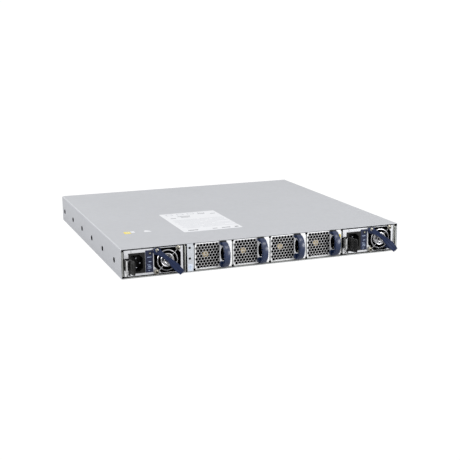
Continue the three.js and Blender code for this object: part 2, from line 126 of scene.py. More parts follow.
def sheet_metal(name, colour, metallic, low, high, streak, spread=0.05, spangle=0.0):
    """Rolled sheet: fine streaks along the rolling direction, soft clouds, and zinc spangle where asked."""
    recipe = Recipe(name).set(Metallic=metallic)
    fine = recipe.noise(900, streak, 6, 0.65)
    cloud = recipe.noise(14, detail=3)
    streaks = recipe.shades(fine, colour, 0.3, 1 - spread, 0.7, 1 + spread)
    clouds = recipe.shades(cloud, colour, 0.35, 0.97, 0.65, 1.03)
    base = recipe.mix(0.5, streaks, clouds)
    if spangle:
        cells = recipe.node("TexVoronoi", Vector=recipe.mapped((1, 1, 1)), Scale=160)
        grey = recipe.node("RGBToBW", Color=cells.outputs["Color"])
        base = recipe.mix(spangle, base, recipe.shades(grey.outputs[0], colour, 0.2, 0.92, 0.8, 1.06))
    recipe.colour(base).roughness(fine, low, high)
    return recipe.bump(fine, 0.05, 0.00005).material


def moulded(name, colour, low, high, grain=2400, bump=0.12, coat=0.0, specular=0.35):
    """Moulded plastic: a fine spark-eroded grain and slow changes of gloss."""
    recipe = Recipe(name).set(Specular_IOR_Level=specular, Coat_Weight=coat, Coat_Roughness=0.25)
    slow = recipe.noise(60, detail=3)
    fine = recipe.noise(grain, detail=2)
    recipe.colour(recipe.shades(slow, colour, 0.3, 0.85, 0.7, 1.15))
    return recipe.roughness(slow, low, high).bump(fine, bump, 0.00008).material


def circuit_board(name):
    """Green solder mask over a grid of copper tracks."""
    recipe = Recipe(name).set(Metallic=0.0, Coat_Weight=0.3, Coat_Roughness=0.2)
    tracks = recipe.node("TexBrick", Vector=recipe.mapped((1, 1, 1)), Scale=260, Mortar_Size=0.05,
                         Color1=rgb(0.012, 0.11, 0.045), Color2=rgb(0.016, 0.135, 0.06),
                         Mortar=rgb(0.04, 0.24, 0.11))
    cloud = recipe.noise(90, detail=3)
    recipe.colour(recipe.mix(cloud, tracks.outputs["Color"], rgb(0.01, 0.1, 0.04)))
    return recipe.roughness(cloud, 0.3, 0.5).bump(tracks.outputs["Fac"], 0.15, 0.00005).material


def printed(name, colour, spread=0.03, gloss=(0.35, 0.5)):
    """A printed label: faint fibre in the colour, slightly satin."""
    recipe = Recipe(name)
    fibre = recipe.noise(1500, (1, 3, 1), 4)
    recipe.colour(recipe.shades(fibre, colour, 0.3, 1 - spread, 0.7, 1 + spread))
    return recipe.roughness(fibre, *gloss).bump(fibre, 0.03, 0.00002).material


def glowing(name, colour, strength):
    """A light pipe: milky plastic with a faint glow, which on the unlit status lights is a painted glow."""
    recipe = Recipe(name).set(Emission_Color=rgb(*colour), Emission_Strength=strength)
    cloud = recipe.noise(800, detail=2)
    recipe.colour(recipe.shades(cloud, colour, 0.3, 0.8, 0.7, 1.1))
    return recipe.roughness(cloud, 0.2, 0.35).material


ALONG_X = (0.02, 1, 1)
ALONG_Y = (1, 0.02, 1)
ALONG_Z = (1, 1, 0.02)

COVER = sheet_metal("cover_steel", (0.492, 0.503, 0.53), 0.25, 0.42, 0.5, ALONG_X, 0.03, 0.2)
TRAY = sheet_metal("tray_steel", (0.55, 0.56, 0.57), 0.8, 0.35, 0.5, ALONG_Y, 0.06, 0.4)
BRIGHT = sheet_metal("bright_steel", (0.71, 0.72, 0.745), 0.55, 0.32, 0.44, ALONG_X, 0.05)
# The perforated field is darker than the rim of the same face: painted shade for its holes.
SHADED_PERFORATED_STEEL = sheet_metal("perforated_steel_painted_shade", (0.56, 0.56, 0.565), 0.6, 0.34, 0.46, ALONG_X, 0.08)
FAN_STEEL = sheet_metal("fan_face_steel", (0.93, 0.935, 0.945), 0.15, 0.36, 0.46, ALONG_X, 0.04)
STRIP = sheet_metal("ground_strip_steel", (0.62, 0.65, 0.69), 0.6, 0.3, 0.42, ALONG_Z, 0.05)
DIVIDER = sheet_metal("divider_steel", (0.42, 0.43, 0.41), 0.8, 0.4, 0.5, ALONG_Z, 0.06)
PORT = sheet_metal("port_nickel", (0.6, 0.6, 0.58), 0.95, 0.25, 0.4, ALONG_Y, 0.08)
FINS = sheet_metal("fin_aluminium", (0.68, 0.69, 0.71), 0.9, 0.35, 0.5, ALONG_Y, 0.08)
CHROME = sheet_metal("chromed_wire", (0.5, 0.5, 0.52), 1.0, 0.16, 0.26, ALONG_X, 0.02)
SCREW = sheet_metal("screw_nickel", (0.38, 0.362, 0.31), 1.0, 0.2, 0.32, ALONG_Z, 0.05)
GOLD = sheet_metal("gold_fingers", (0.8, 0.58, 0.25), 1.0, 0.2, 0.32, ALONG_Y, 0.05)
PIN = sheet_metal("dull_pins", (0.3, 0.31, 0.34), 0.9, 0.3, 0.42, ALONG_Y, 0.05)
COPPER = sheet_metal("winding_copper", (0.75, 0.38, 0.2), 1.0, 0.3, 0.45, ALONG_X, 0.1)
BLACK = moulded("black_plastic", (0.006, 0.006, 0.006), 0.42, 0.55, specular=0.28)
FAN_PLASTIC = moulded("fan_plastic", (0.003, 0.003, 0.0035), 0.75, 0.9, 1800, specular=0.02)
# Flat black without shine is painted shade: it goes in gaps, holes, recesses and behind openings, and on
# parts that sit in that shade.
PAINTED_SHADE = moulded("shadow_black", (0.0015, 0.0015, 0.002), 0.8, 0.9, 1800, 0.05, specular=0.0)
NAVY = moulded("navy_plastic", (0.0065, 0.0155, 0.056), 0.26, 0.36, 1600, 0.1, specular=0.32)
NAVY_GLOSS = moulded("navy_bow_plastic", (0.006, 0.0175, 0.062), 0.2, 0.32, 1600, 0.12, specular=0.72)
CAPACITOR = moulded("capacitor_sleeve", (0.02, 0.03, 0.05), 0.25, 0.35, 900, 0.05, 0.4)
CREAM = moulded("socket_plastic", (0.55, 0.52, 0.45), 0.4, 0.55, 1500)
BOARD = circuit_board("circuit_board")
LABEL_WHITE = printed("label_white", (0.75, 0.76, 0.785))
LABEL_INK = printed("label_ink", (0.16, 0.165, 0.19))
LABEL_GREY = printed("label_grey", (0.46, 0.47, 0.51))
LABEL_NAVY = printed("label_navy", (0.003, 0.0085, 0.043), 0.08, (0.55, 0.7))
LABEL_MARK = printed("label_mark", (0.28, 0.34, 0.48))
LABEL_YELLOW = printed("label_yellow", (0.85, 0.68, 0.06))
LABEL_BLUE = printed("label_pale_blue", (0.42, 0.54, 0.72))
LABEL_ICE = printed("label_ice_blue", (0.66, 0.72, 0.82))
HUB_TAN = printed("hub_label_tan", (0.85, 0.68, 0.4), 0.1)
HUB_SILVER = printed("hub_label_silver", (0.72, 0.72, 0.74), 0.1, (0.2, 0.35))
HUB_DARK = printed("hub_dark", (0.04, 0.04, 0.045), 0.1, (0.4, 0.5))
# The status lights are off: their faint emission is a painted glow.
LED_OFF = glowing("status_light", (0.42, 0.42, 0.34), 0.05)
LED_GREEN = glowing("link_light", (0.12, 0.5, 0.14), 0.4)


def lit_floor():
    """A pale floor that throws soft light on the object, pure white to the camera and clear from below."""
    recipe = Recipe("studio_floor").set(Emission_Color=rgb(1, 1, 1), Emission_Strength=0.09)
    cloud = recipe.noise(3, detail=2)
    recipe.colour(recipe.ramp(cloud, [(0.3, rgb(0.5, 0.5, 0.505)), (0.7, rgb(0.53, 0.53, 0.535))]))
    recipe.roughness(cloud, 0.8, 0.9)
    seen, sheet = recipe.node("LightPath").outputs["Is Camera Ray"], recipe.node("NewGeometry")
    white, clear = recipe.node("Emission", Strength=1.05), recipe.node("BsdfTransparent")
    surface = recipe.shader.outputs[0]
    for factor, other in ((seen, white), (sheet.outputs["Backfacing"], clear)):
        mix = recipe.node("MixShader")
        for socket, source in zip(mix.inputs, (factor, surface, other.outputs[0])):
            recipe.feed(socket, source)
        surface = mix.outputs[0]
    recipe.feed(recipe.nodes["Material Output"].inputs["Surface"], surface)
    return recipe.material


FLOOR = lit_floor()


# ---- shapes, as bmeshes in millimetres ----

def linked(name, data):
    """A new object in the scene."""
    holder = bpy.data.objects.new(name, data)
    bpy.context.scene.collection.objects.link(holder)
    return holder


def built(holder):
    """The mesh that an object's curve or modifiers come to."""
    return bpy.data.meshes.new_from_object(holder.evaluated_get(bpy.context.evaluated_depsgraph_get()))


def slab(x, y, z, bevel=0.15, segments=1):
    """A block with rounded edges between two values on each axis."""
    bm = bmesh.new()
    bmesh.ops.create_cube(bm, size=1)
    size = Vector((x[1] - x[0], y[1] - y[0], z[1] - z[0]))
    middle = Vector((x[0] + x[1], y[0] + y[1], z[0] + z[1])) / 2
    for v in bm.verts:
        v.co = Vector([c * s for c, s in zip(v.co, size)]) + middle
    width = min(bevel, 0.45 * min(size))
    bmesh.ops.bevel(bm, geom=bm.edges[:], offset=width, segments=segments, profile=0.5, affect="EDGES")
    return bm


def arc(centre, radius, start, end, steps):
    """Points on an arc, angles in degrees."""
    angles = [radians(start + (end - start) * i / steps) for i in range(steps + 1)]
    return [(centre[0] + radius * cos(a), centre[1] + radius * sin(a)) for a in angles]


def circle(centre, radius, count=24):
    return arc(centre, radius, 0, 360, count)[:-1]


def hexagon(centre, radius):
    return arc(centre, radius, 30, 390, 6)[:-1]


def bezier(a, b, c, steps):
    """Points on a quadratic curve from a to c that bends towards b."""
    points = []
    for t in (i / steps for i in range(steps + 1)):
        points.append(tuple((1 - t) ** 2 * p + 2 * t * (1 - t) * q + t * t * r for p, q, r in zip(a, b, c)))
    return points


def rounded(a, b, radius, steps=4):
    """A rectangle between two values on each axis, with rounded corners."""
    (a0, a1), (b0, b1) = a, b
    corners = [((a1 - radius, b1 - radius), 0), ((a0 + radius, b1 - radius), 90),
               ((a0 + radius, b0 + radius), 180), ((a1 - radius, b0 + radius), 270)]
    return [p for centre, turn in corners for p in arc(centre, radius, turn, turn + 90, steps)]


TURNS = {
    "y": Matrix(((1, 0, 0), (0, 0, -1), (0, 1, 0))),
    "x": Matrix(((0, 0, 1), (1, 0, 0), (0, 1, 0))),
    "z": Matrix.Identity(3),
}


def plate(outlines, depth, axis="y", bevel=0.12):
    """A flat sheet with holes. The first outline is its edge and the rest are holes, in X and Z for axis y,
    Y and Z for axis x, and X and Y for axis z. depth gives its two faces on that axis."""
    low, high = depth
    curve = bpy.data.curves.new("outline", "CURVE")
    curve.dimensions = "2D"
    curve.fill_mode = "BOTH"
    bevel = min(bevel, 0.4 * (high - low))
    curve.extrude = (high - low) / 2 - bevel
    curve.bevel_depth = bevel
    curve.bevel_resolution = 0
    curve.offset = -bevel
    for outline in outlines:
        spline = curve.splines.new("POLY")
        spline.points.add(len(outline) - 1)
        for point, (a, b) in zip(spline.points, outline):
            point.co = (a, b, 0, 1)
        spline.use_cyclic_u = True
    holder = linked("outline", curve)
    mesh = built(holder)
    bm = bmesh.new()
    bm.from_mesh(mesh)
    bpy.data.objects.remove(holder)
    bpy.data.curves.remove(curve)
    bpy.data.meshes.remove(mesh)
    bmesh.ops.remove_doubles(bm, verts=bm.verts[:], dist=1e-4)
    turn = TURNS[axis]
    offset = Vector([(low + high) / 2 if axis == letter else 0 for letter in "xyz"])
    for v in bm.verts:
        v.co = turn @ v.co + offset
    bmesh.ops.recalc_face_normals(bm, faces=bm.faces[:])
    return bm


def turned(profile, centre, axis="y", steps=32):
    """A body of revolution from points of (distance along the axis, radius)."""
    bm = bmesh.new()
    rings = []
    for along, radius in profile:
        if radius < 1e-6:
            rings.append([bm.verts.new((0, 0, along))])
        else:
            rings.append([bm.verts.new((*p, along)) for p in circle((0, 0), radius, steps)])
    for a, b in zip(rings, rings[1:]):
        skin(bm, a, b)
    turn = {"z": Matrix.Identity(3), "y": Matrix(((1, 0, 0), (0, 0, 1), (0, -1, 0))),
            "x": Matrix(((0, 0, 1), (0, 1, 0), (-1, 0, 0)))}[axis]
    for v in bm.verts:
        v.co = turn @ v.co + Vector(centre)
    bmesh.ops.recalc_face_normals(bm, faces=bm.faces[:])
    return bm


def disc(span, radius, centre, axis="y", steps=24):
    """A plain round plug between two distances along an axis."""
    low, high = span
    return turned([(low, 0), (low, radius), (high, radius), (high, 0)], centre, axis, steps)


def patch(a, b, radius, depth, axis="y", bevel=0.02):
    """A rounded rectangle with a thickness, such as a sticker or a printed bar."""
    return plate([rounded(a, b, radius)], depth, axis, bevel)


def coated(parts, material):
    return [(part, material) for part in parts]


def skin(bm, a, b):
    """Faces between two rings of vertices, either of which may be a single point."""
    if len(a) == 1 and len(b) == 1:
        return
    n = max(len(a), len(b))
    for i in range(n):
        j = (i + 1) % n
        if len(a) == 1:
            bm.faces.new((a[0], b[i], b[j]))
        elif len(b) == 1:
            bm.faces.new((a[i], a[j], b[0]))
        else:
            bm.faces.new((a[i], a[j], b[j], b[i]))


def loft(rings, closed=False):
    """A skin over rings of points, with flat ends unless it closes on itself."""
    bm = bmesh.new()
    rows = [[bm.verts.new(p) for p in ring] for ring in rings]
    pairs = list(zip(rows, rows[1:] + rows[:1])) if closed else list(zip(rows, rows[1:]))
    for a, b in pairs:
        skin(bm, a, b)
    if not closed:
        bm.faces.new(rows[0][::-1])
        bm.faces.new(rows[-1])
    bmesh.ops.recalc_face_normals(bm, faces=bm.faces[:])
    return bm


def wire(path, radius, closed=False, sides=10):
    """A round wire along a path of points."""
    path = [Vector(p) for p in path]
    rings = []
    normal = None
    for i, point in enumerate(path):
        before = path[i - 1] if i or closed else point
        after = path[(i + 1) % len(path)] if closed or i < len(path) - 1 else point
        along = (after - before).normalized()
        if normal is None:
            normal = along.orthogonal().normalized()
        normal = (normal - normal.project(along)).normalized()
        across = along.cross(normal)
        rings.append([point + radius * (normal * cos(a) + across * sin(a))
                      for a in (2 * pi * k / sides for k in range(sides))])
    return loft(rings, closed)


def ring(centre, radius, thickness, steps=48, sides=10):
    """A round wire bent to a circle that faces -Y."""
    x, y, z = centre
    return wire([(a, y, b) for a, b in circle((x, z), radius, steps)], thickness, True, sides)


def cut(bm, cutters):
    """bm with the cutters taken away, by Blender's exact boolean."""
    body = as_object("body", bm)
    tool = as_object("tool", joined(cutters))
    modifier = body.modifiers.new("cut", "BOOLEAN")
    modifier.operation = "DIFFERENCE"
    modifier.solver = "EXACT"
    modifier.use_self = False
    modifier.object = tool
    result = bmesh.new()
    result.from_mesh(built(body))
    for holder in (body, tool):
        bpy.data.objects.remove(holder)
    bmesh.ops.remove_doubles(result, verts=result.verts[:], dist=1e-4)
    return result


def as_object(name, bm):
    mesh = bpy.data.meshes.new(name)
    bm.to_mesh(mesh)
    return linked(name, mesh)


def joined(parts):
    whole = bmesh.new()
    for bm in parts:
        mesh = bpy.data.meshes.new("join")
        bm.to_mesh(mesh)
        whole.from_mesh(mesh)
        bpy.data.meshes.remove(mesh)
    return whole


def piece(name, body, origin, parts, stands_for=()):
    """One visible piece from (bmesh, material) pairs in millimetres about origin, which is in metres."""
    mesh = bpy.data.meshes.new(name)
    materials = []
    for bm, material in parts:
        if material not in materials:
            materials.append(material)
        for face in bm.faces:
            face.material_index = materials.index(material)
    whole = joined([bm for bm, _ in parts])
    for v in whole.verts:
        v.co = v.co * MM + Vector(origin)
    whole.to_mesh(mesh)
    for material in materials:
        mesh.materials.append(material)
    mesh.shade_smooth()
    mesh.set_sharp_from_angle(angle=SHARP)
    holder = linked(name, mesh)
    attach(holder, body)
    if stands_for:
        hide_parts(*stands_for)


def module(name, corner, rows):
    """One module's pieces, from rows of suffix, parts, nodes replaced and slot, placed by its corner node."""
    low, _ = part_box(f"{name}_{corner}")
    movers = {"impeller": "_spinner", "spring_latch": "_release", "thumb_latch": "_release"}
    for suffix, parts, nodes, slot in rows:
        body = name + movers.get(suffix, "")
        piece(f"{name}_{suffix}", body, (low.x, low.y, 0), parts, [f"{name}_{node}" for node in nodes])


# ---- chassis ----

def mm_box(node):
    low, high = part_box(node)
    return [[low[i] / MM, high[i] / MM] for i in range(3)]


COVER_X, COVER_Y, COVER_Z = mm_box("top_cover")
LEFT, RIGHT = COVER_X
REAR, FRONT = COVER_Y
TOP = COVER_Z[1]
SHEET = 1.0
RAIL_HOLES = [REAR + 40.5 + 74 * i for i in range(6)]
RAIL_Z = 19.2
FAN_NAMES = [f"fan_{i}" for i in range(1, 5)]
WORLD = (0, 0, 0)


def top_cover():
    """Top and both sides in one bent sheet, with round rail holes and threaded inserts in them, the inserts
    in flat black as painted shade inside the holes.
    """
    half = (RIGHT - LEFT) / 2
    bend, low = 2.0, COVER_Z[0]

    def section(reach, radius):
        left, right = [(side * (half - bend), TOP - bend) for side in (-1, 1)]
        return [(-reach, low)] + arc(left, radius, 180, 90, 8) + arc(right, radius, 90, 0, 8) + [(reach, low)]

    shell = plate([section(half, bend) + section(half - SHEET, bend - SHEET)[::-1]], (REAR, FRONT))
    spots = [(side, y) for side in (-1, 1) for y in RAIL_HOLES]
    holes = [disc((-3, 3), 4, (side * (half - SHEET / 2), y, RAIL_Z), "x", 28) for side, y in spots]
    piece("cover_shell", "chassis", WORLD, [(cut(shell, holes), COVER)], ["top_cover"])
    insert = [(-2.5, 0), (-2.5, 3.9), (0.8, 3.9), (1.1, 3.6), (1.1, 2.2), (-2.2, 2.2), (-2.2, 0)]
    inserts = [turned([(side * along, radius) for along, radius in insert],
                      (side * (half - SHEET / 2), y, RAIL_Z), "x", 24) for side, y in spots]
    piece("rail_thread_inserts", "chassis", WORLD, coated(inserts, PAINTED_SHADE))


def cover_labels():
    """A large rating label and two small stickers on the cover, with plain bars where print would be."""
    sheet, ink = (TOP, TOP + 0.12), (TOP + 0.12, TOP + 0.15)

    def sticker(x0, x1, y0, y1, radius=1.5):
        return patch((LEFT + x0, LEFT + x1), (REAR + y0, REAR + y1), radius, sheet, "z", 0.03)

    def bar(x, y, width, deep, radius):
        return patch((LEFT + x, LEFT + x + width), (REAR + y, REAR + y + deep), radius, ink, "z", 0.01)

    faint = []
    rows = [(60, 22), (12, 70), (50, 30), (30, 52), (20, 64), (44, 36), (10, 50), (26, 58), (18, 40)]
    for row, (skip, width) in enumerate(rows):
        x, y = 121 + skip * 0.1, 92 + row * 7.2
        faint.append(bar(x, y, width, 1.4, 0.4))
        if width < 60:
            faint.append(bar(x + width + 4, y, 78 - width, 1.4, 0.4))
    dark = [bar(*place, 1)
            for place in ((124, 74, 16, 3.6), (163, 74, 8, 3), (178, 74, 14, 3.4), (199, 73, 6, 5))]
    dark += [bar(*place, 2.4, 0.8)
             for place in ((124, 166, 9), (138, 176, 22), (142, 169, 16), (176, 186, 12), (196, 181, 9))]
    for column in range(4):
        x, y = LEFT + 124 + column * 18, REAR + 188
        inner = rounded((x + 1.2, x + 9.8), (y + 1.2, y + 8.8), 0.5)
        faint.append(plate([rounded((x, x + 11), (y, y + 10), 0.8), inner], ink, "z", 0.01))
    piece("rating_label", "chassis", WORLD, [(sticker(115, 209.3, 67, 204, 2), LABEL_WHITE)]
          + coated(faint, LABEL_GREY) + coated(dark, LABEL_INK))
    clear = [sticker(40.6, 46.6, 94, 104)] + [bar(x, 92.5, 1, 7.5, 0.3) for x in (33.2, 36.4)]
    piece("date_sticker", "chassis", WORLD,
          [(sticker(29.8, 39.6, 90, 103), LABEL_YELLOW)] + coated(clear, LABEL_WHITE))
    corner = [(LEFT + x, REAR + y) for x, y in ((60.4, 92), (71.4, 92), (69, 99), (64.5, 104), (60.8, 99))]
    piece("seal_sticker", "chassis", WORLD, [(plate([corner], sheet, "z", 0.03), LABEL_WHITE)])


WALLS_X = [mm_box("fan_1_carrier")[0][0] - 1] + [mm_box(f"{name}_carrier")[0][1] + 1 for name in FAN_NAMES]
FLANGES_X = ((LEFT + 1.3, LEFT + 3.2), (RIGHT - 3.2, RIGHT - 1.3))
STRIP_X = (LEFT + 97.3, LEFT + 106.6)
GROUND_X, GROUND_Z = sum(STRIP_X) / 2 - 0.6, (20.4, 36.3)
INSIDE_Z = (1.1, 42.4)


def rear_sheet():
    """Bottom lip, side flanges, ground strip and the walls between the fan modules."""
    face = (REAR, REAR + 1.2)
    lips = [slab((LEFT + 1.3, RIGHT - 1.3), face, (1.1, 1.7)),
            slab((WALLS_X[0], WALLS_X[-1] + 0.5), face, (1.1, 2.2))]
    lips += [slab(x, face, (3.8, 39.2), 0.2) for x in FLANGES_X]
    strip = plate([rounded(STRIP_X, INSIDE_Z, 0.4)] + [circle((GROUND_X, z), 1.75) for z in GROUND_Z], face)
    walls = [slab((x - 0.5, x + 0.5), (REAR + start, REAR + 84), z) for x in WALLS_X
             for start, z in ((0.9, (3.9, 39.4)), (4.5, (1.1, 3.8)), (4.5, (39.6, 42.4)))]
    web = slab((LEFT + 105.6, WALLS_X[0]), (REAR + 0.8, REAR + 1.8), INSIDE_Z)
    parts = coated(lips, DIVIDER) + [(strip, STRIP)] + coated(walls, DIVIDER) + [(web, STRIP)]
    piece("rear_sheet", "chassis", WORLD, parts, ["rear_frame"])


def ground_pad():
    """The threads of the ground strip in flat black as painted shade inside its holes, and its sticker with a
    plain ground symbol.
    """
    thread = [(0, 0), (0, 1.75), (0.6, 1.4), (2.5, 1.4), (2.5, 0)]
    threads = [turned(thread, (GROUND_X, REAR + 0.6, z), "y", 20) for z in GROUND_Z]
    sticker = patch((STRIP_X[0] + 1, STRIP_X[1] - 0.8), (2.6, 12.4), 0.8, (REAR - 0.1, REAR))
    bars = [patch((GROUND_X - width / 2, GROUND_X + width / 2), z, 0.2, (REAR - 0.16, REAR - 0.1), "y", 0.01)
            for width, z in ((5, (8, 8.8)), (3.4, (6.4, 7.2)), (1.8, (4.8, 5.6)), (0.8, (8.4, 11.2)))]
    piece("ground_pad_details", "chassis", WORLD,
          coated(threads, PAINTED_SHADE) + [(sticker, LABEL_ICE)] + coated(bars, LABEL_BLUE))


def corner_relief_shade():
    """Black blocks of painted shade in the corner gaps of the openings, and a black strip of painted shadow
    below the fan modules.
    """
    spots = [((x - 1.4, x + 1.4), 4.4, z) for x in WALLS_X for z in ((1.7, 4.7), (39.7, 42.4))]
    spots += [((x[0] - 0.1, x[1] + 0.6), 0.45, z) for x in FLANGES_X for z in ((1.2, 3.7), (39.9, 42.6))]
    spots += [((LEFT + 95.2, LEFT + 97.2), 0.45, z) for z in ((1.2, 4.0), (40.6, 42.6))]
    gaps = [slab(x, (REAR - 0.1, REAR + deep), z, 0.1) for x, deep, z in spots]
    gaps.append(slab((WALLS_X[0] + 1, WALLS_X[-1] - 1), (REAR + 1.25, REAR + 2), (2.0, 3.0), 0.1))
    piece("corner_relief_shade", "chassis", WORLD, coated(gaps, PAINTED_SHADE))


def psu_bay_walls():
    """Each bay wall is a web with a rolled front edge and a foot."""
    nodes = ["psu_bay_wall_left", "psu_bay_wall_right"]
    parts = []
    for x, y, z in map(mm_box, nodes):
        parts += [slab((x[0], x[0] + 1), y, z), slab(x, (y[0], y[0] + 1.2), (z[0] + 1, z[1] - 2.4), 0.3, 2),
                  slab((x[0], x[0] + 1.9), (y[0] + 6, y[1] - 5), (z[0], z[0] + 1.3))]
    piece("psu_bay_walls", "chassis", WORLD, coated(parts, DIVIDER), nodes)


# ---- fans ----

def fan_housing(x, z, size, bore, front, depth):
    """Square duct with a round bore, flanges at both ends, and arms to the motor seat."""
    half, flange, back = size / 2, 3, front + depth
    corners = [(x + a * (half - 3), z + b * (half - 3)) for a in (-1, 1) for b in (-1, 1)]
    outline = rounded((x - half, x + half), (z - half, z + half), 1.6)
    holes = [circle((x, z), bore, 48)] + [circle(c, 1.6, 14) for c in corners]
    ends = [plate([outline] + holes, (y, y + flange), "y", 0.2) for y in (front, back - flange)]
    tube = loft([[(a, y, b) for a, b in circle((x, z), radius, 48)]
                 for y, radius in ((front + 2.9, bore), (front + 2.9, bore + 0.9),
                                   (back - 2.9, bore + 0.9), (back - 2.9, bore))], True)
    seat = turned([(back - 4, 0), (back - 4, 9.4), (back - 1.2, 9.4), (back - 0.8, 9), (back - 0.8, 0)],
                  (x, 0, z))
    arms = []
    for k in range(4):
        a = radians(35 + 90 * k)
        outward, across = Vector((cos(a), 0, sin(a))), Vector((-sin(a), 0, cos(a)))
        arms.append(loft([[Vector((x, y + v, z)) + outward * r + across * u
                           for u, v in ((-0.8, -1), (0.8, -1), (0.8, 1), (-0.8, 1))]
                          for r, y in ((8.5, back - 2.6), (bore + 0.4, back - 2.0))]))
    return coated(ends + [tube, seat] + arms, FAN_PLASTIC)


def fan_blades(x, z, tip, hub, front, depth, count, well=0.01):
    """Twisted, swept blades around a hub."""
    parts = [turned([(front + well, 0), (front + well, hub - 2.4), (front, hub - 2.2), (front, hub - 1.2),
                     (front + 1.2, hub), (front + depth, hub), (front + depth, 0)], (x, 0, z), "y", 40)]
    stations, steps = (-1, -0.6, -0.2, 0.2, 0.6, 1), 5
    section = [(u, 0.55 * (1 - u * u) + 0.12) for u in stations]
    section += [(u, -0.3 * (1 - u * u) - 0.12) for u in reversed(stations)]
    root = hub - 0.4
    for k in range(count):
        rings = []
        for i in range(steps + 1):
            t = i / steps
            r = root + (tip - root) * t
            pitch, sweep = radians(52 - 20 * t), radians(14 * t * t)
            half_chord = (11.5 + 2.5 * t) / 2
            points = []
            for u, lift in section:
                along = u * half_chord * sin(pitch) + lift * cos(pitch)
                around = u * half_chord * cos(pitch) - lift * sin(pitch)
                angle = 2 * pi * k / count + sweep + around / r
                points.append((x + r * cos(angle), front + depth / 2 + along, z + r * sin(angle)))
            rings.append(points)
        parts.append(loft(rings))
    return coated(parts, FAN_PLASTIC)


def tan_hub(x, z, y, radius):
    """A tan hub sticker that faces -Y at y, with a silver centre and two bars."""
    back = disc((y - 0.1, y), radius, (x, 0, z), "y", 32)
    centre = disc((y - 0.16, y - 0.1), radius * 0.3, (x, 0, z))
    bars = [patch((x - radius * 0.62, x + radius * 0.62), (z + dz, z + dz + 0.5), 0.15, (y - 0.14, y - 0.1),
                  "y", 0.01) for dz in (radius * 0.45, -radius * 0.6)]
    return [(back, HUB_TAN), (centre, SCREW)] + coated(bars, LABEL_INK)


def silver_hub(x, z, y, radius):
    """A silver hub sticker that faces -Y at y, with two silver arcs on a dark centre that paint the bright
    and dark reflections of its shiny face.
    """
    back = disc((y - 0.1, y), radius, (x, 0, z), "y", 32)
    centre = disc((y - 0.18, y - 0.1), radius * 0.8, (x, 0, z), "y", 32)
    arcs = []
    for start, end, outer, inner in ((200, 330, 0.76, 0.42), (70, 120, 0.7, 0.52)):
        shape = arc((x, z), radius * outer, start, end, 12) + arc((x, z), radius * inner, end, start, 12)
        arcs.append(plate([shape], (y - 0.24, y - 0.18), "y", 0.01))
    return [(back, HUB_SILVER), (centre, HUB_DARK)] + coated(arcs, HUB_SILVER)


HOLE_ROWS = [38.55 - 4.01 * i for i in range(9)]
HOLE_PITCH = 4.72
HOLE_R = 2.15
FACE_SHEET = 0.6
WALL, HUB_R = 0.9, 10


def fan_face():
    """Perforated face with a finger recess and relieved corners. The perforated field is a darker sheet than
    the rim, painted shade for its holes.
    """
    x, _, z = mm_box("fan_1_carrier")
    width, low, high = x[1] - x[0], z[0] + 0.3, z[1]
    n, m = 0.9, 1.9
    edge = [(n, low), (width - n, low), (width - n, low + m), (width, low + m), (width, high - m),
            (width - n, high - m), (width - n, high), (n, high), (n, high - m), (0, high - m),
            (0, low + m), (n, low + m)]
    limit = 37.5
    holes = []
    for row, centre_z in enumerate(HOLE_ROWS):
        start = 4.95 if row % 2 == 0 else 2.55
        count = 8 if row % 2 or row in (2, 4, 6) else 7
        for k in range(count):
            outline = circle((start + k * HOLE_PITCH, centre_z), HOLE_R, 18)
            # A hole that would pass the field's right edge ends in an almost straight side.
            holes.append([(min(a, limit + 0.002 * i), b) for i, (a, b) in enumerate(outline)])
    recess = bezier((42.4, 33.4), (39.2, 31), (39.2, 23.2), 6)
    recess += bezier((39.2, 23.2), (39.2, 15), (42.4, 12.6), 6)[1:] + [(48.6, 12.6), (48.6, 33.4)]
    left, right, base, top = 1.9, limit + 0.6, HOLE_ROWS[-1] - 2.4, HOLE_ROWS[0] + 2.3
    window, field = [[(left + gap, base), (right - gap, base), (right - gap, top), (left + gap, top)]
                     for gap in (0, 0.02)]
    rim = plate([edge, recess, window], (0, FACE_SHEET), "y", 0.06)
    mesh = plate([field] + holes, (0, FACE_SHEET), "y", 0.06)
    return [(rim, FAN_STEEL), (mesh, SHADED_PERFORATED_STEEL)]


def fan_carrier_body(depth):
    """Floor, folded edges and web behind the face, and black sheets of painted shade around the fan's mouth,
    beside the recess and along the floor.
    """
    width, low, high = 57, 2.9, 41.9
    behind, side_z, mouth_z = FACE_SHEET + 0.1, (low + 2.2, high - 2.2), (low + 1.4, 39.8)
    web = plate([rounded((11, depth), (low + 0.4, 38), 1.5), circle((30, 21), 6), circle((55, 21), 6)],
                (width - 15, width - 14.2), "x", 0.1)
    bright = [slab((0, width), (behind, depth), (low, low + 0.7), 0.1),
              slab((0, 2.2), (behind, 9), side_z, 0.1),
              slab((width - 0.7, width), (behind, 9), side_z, 0.1),
              slab((1.2, width - 1.2), (behind, 6), (high - 1.4, high), 0.1),
              web, slab((7.6, 38), (behind, 1.3), (low + 0.7, 5.3), 0.05)]
    dark = [slab((38.4, 39.4), (behind, 9), side_z, 0.1),
            slab((0.8, width - 15.5), (38, depth - 0.5), (low + 0.7, low + 1), 0.05)]
    dark += [slab((2.4, 38.2), (behind + 0.8, 8.3), z, 0.05) for z in ((low + 0.8, low + 1.2), (39.9, 40.4))]
    dark += [slab(x, (behind + 0.2, 8.3), mouth_z, 0.05) for x in ((2.3, 2.6), (38.0, 38.3))]
    return coated(bright, BRIGHT) + coated(dark, PAINTED_SHADE)


